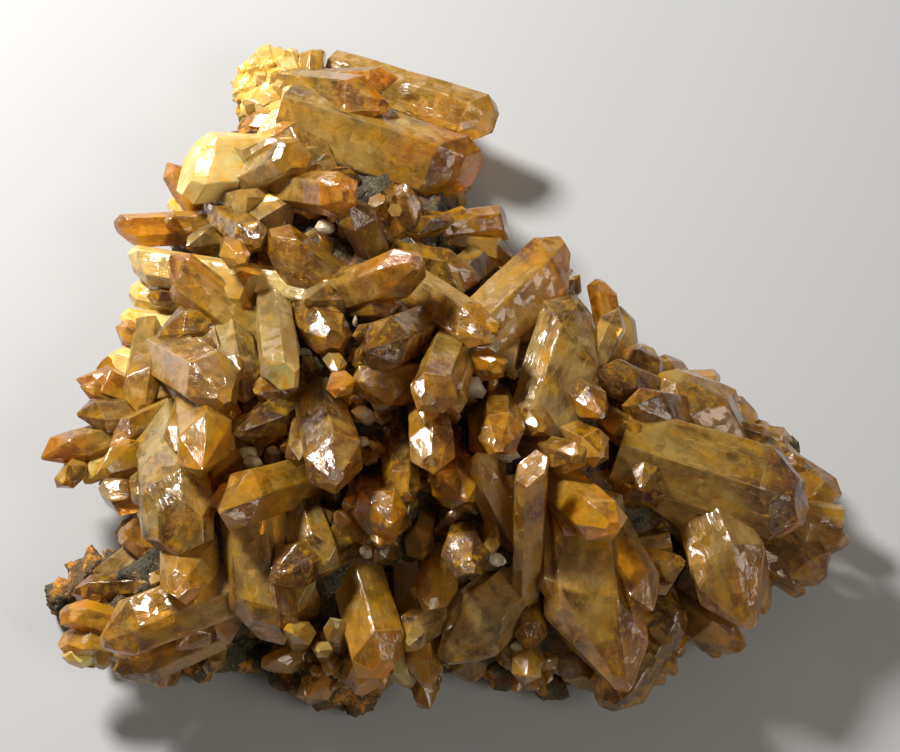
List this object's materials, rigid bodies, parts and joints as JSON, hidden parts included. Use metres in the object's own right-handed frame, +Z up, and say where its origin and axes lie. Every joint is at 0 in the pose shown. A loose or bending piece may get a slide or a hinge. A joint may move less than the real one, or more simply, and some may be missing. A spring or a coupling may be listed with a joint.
{
  "type": "golden crystal cluster",
  "caption": "Mineral specimen of honey-amber six-sided prismatic crystals grown together on dark host rock, lying flat with the tips up and outwards.",
  "frame": {"origin": "middle of the cluster's outline in plan, at the rock's flat cut underside", "axes": "+Z up out of the rock, +X along the cluster's longest side, -Y towards the front edge nearest to the eye"},
  "size_m": [0.2016, 0.1838, 0.0736],
  "materials": {
    "golden_crystal": "translucent honey-amber crystal, cloudy inside, glossy faces",
    "host_rock": "rough dark grey-green rock with rusty stains"
  },
  "bodies": {
    "root": {"crystals": "golden_crystal", "host_rock": "host_rock"}
  },
  "joints": []
}
